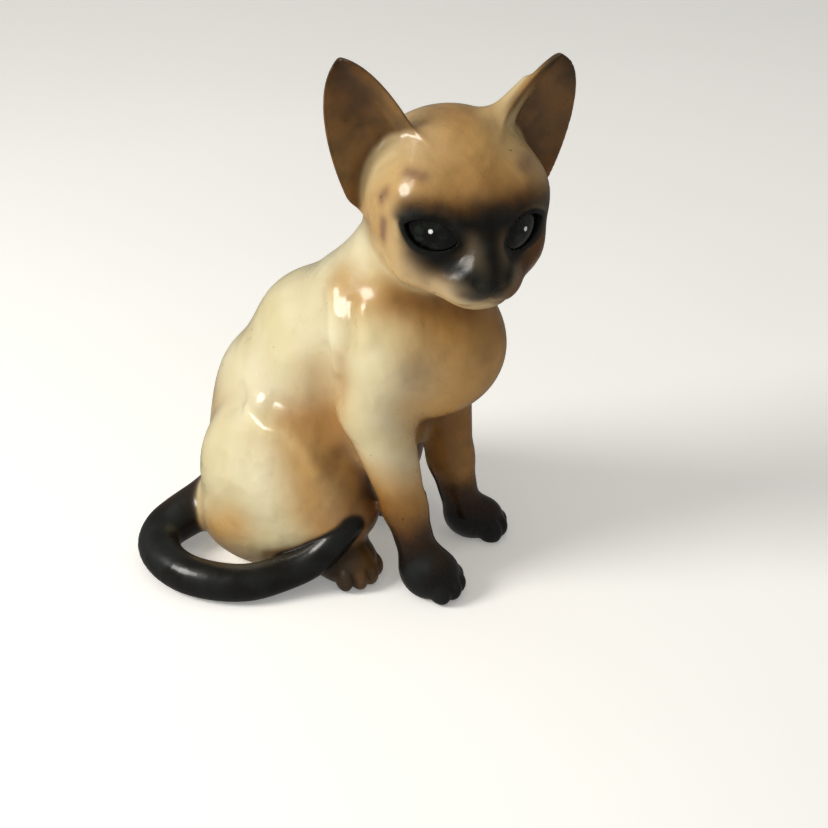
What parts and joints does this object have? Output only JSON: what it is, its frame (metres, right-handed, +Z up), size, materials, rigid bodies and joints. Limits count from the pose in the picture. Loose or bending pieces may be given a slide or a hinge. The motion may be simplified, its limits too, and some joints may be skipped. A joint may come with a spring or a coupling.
{
  "type": "ceramic cat figurine",
  "caption": "Sitting Siamese kitten figurine in glazed earthenware, head turned over the right forepaw and tail curled round the right haunch.",
  "frame": {"origin": "on the ground, at the middle of the flat unglazed seat under the rump", "axes": "+Z up, the chest and forepaws towards -Y, the cat's left side towards +X"},
  "size_m": [0.1138, 0.1421, 0.2033],
  "materials": {
    "cream_glaze": "gloss, cream shaded with sprayed tan",
    "tan_glaze": "gloss, tan shading to a seal-brown mask",
    "point_glaze": "gloss, seal brown",
    "leg_glaze": "gloss, cream at the elbow shading through brown to black toes",
    "tail_glaze": "high gloss, charcoal black",
    "eye_enamel": "high gloss, black pupil in a dark green iris"
  },
  "bodies": {
    "root": {"torso": "cream_glaze", "head": "tan_glaze", "left_ear": "point_glaze", "right_ear": "point_glaze", "left_eye": "eye_enamel", "right_eye": "eye_enamel", "left_foreleg": "leg_glaze", "right_foreleg": "leg_glaze", "left_hind_foot": "point_glaze", "right_hind_foot": "point_glaze", "tail": "tail_glaze"}
  },
  "joints": []
}
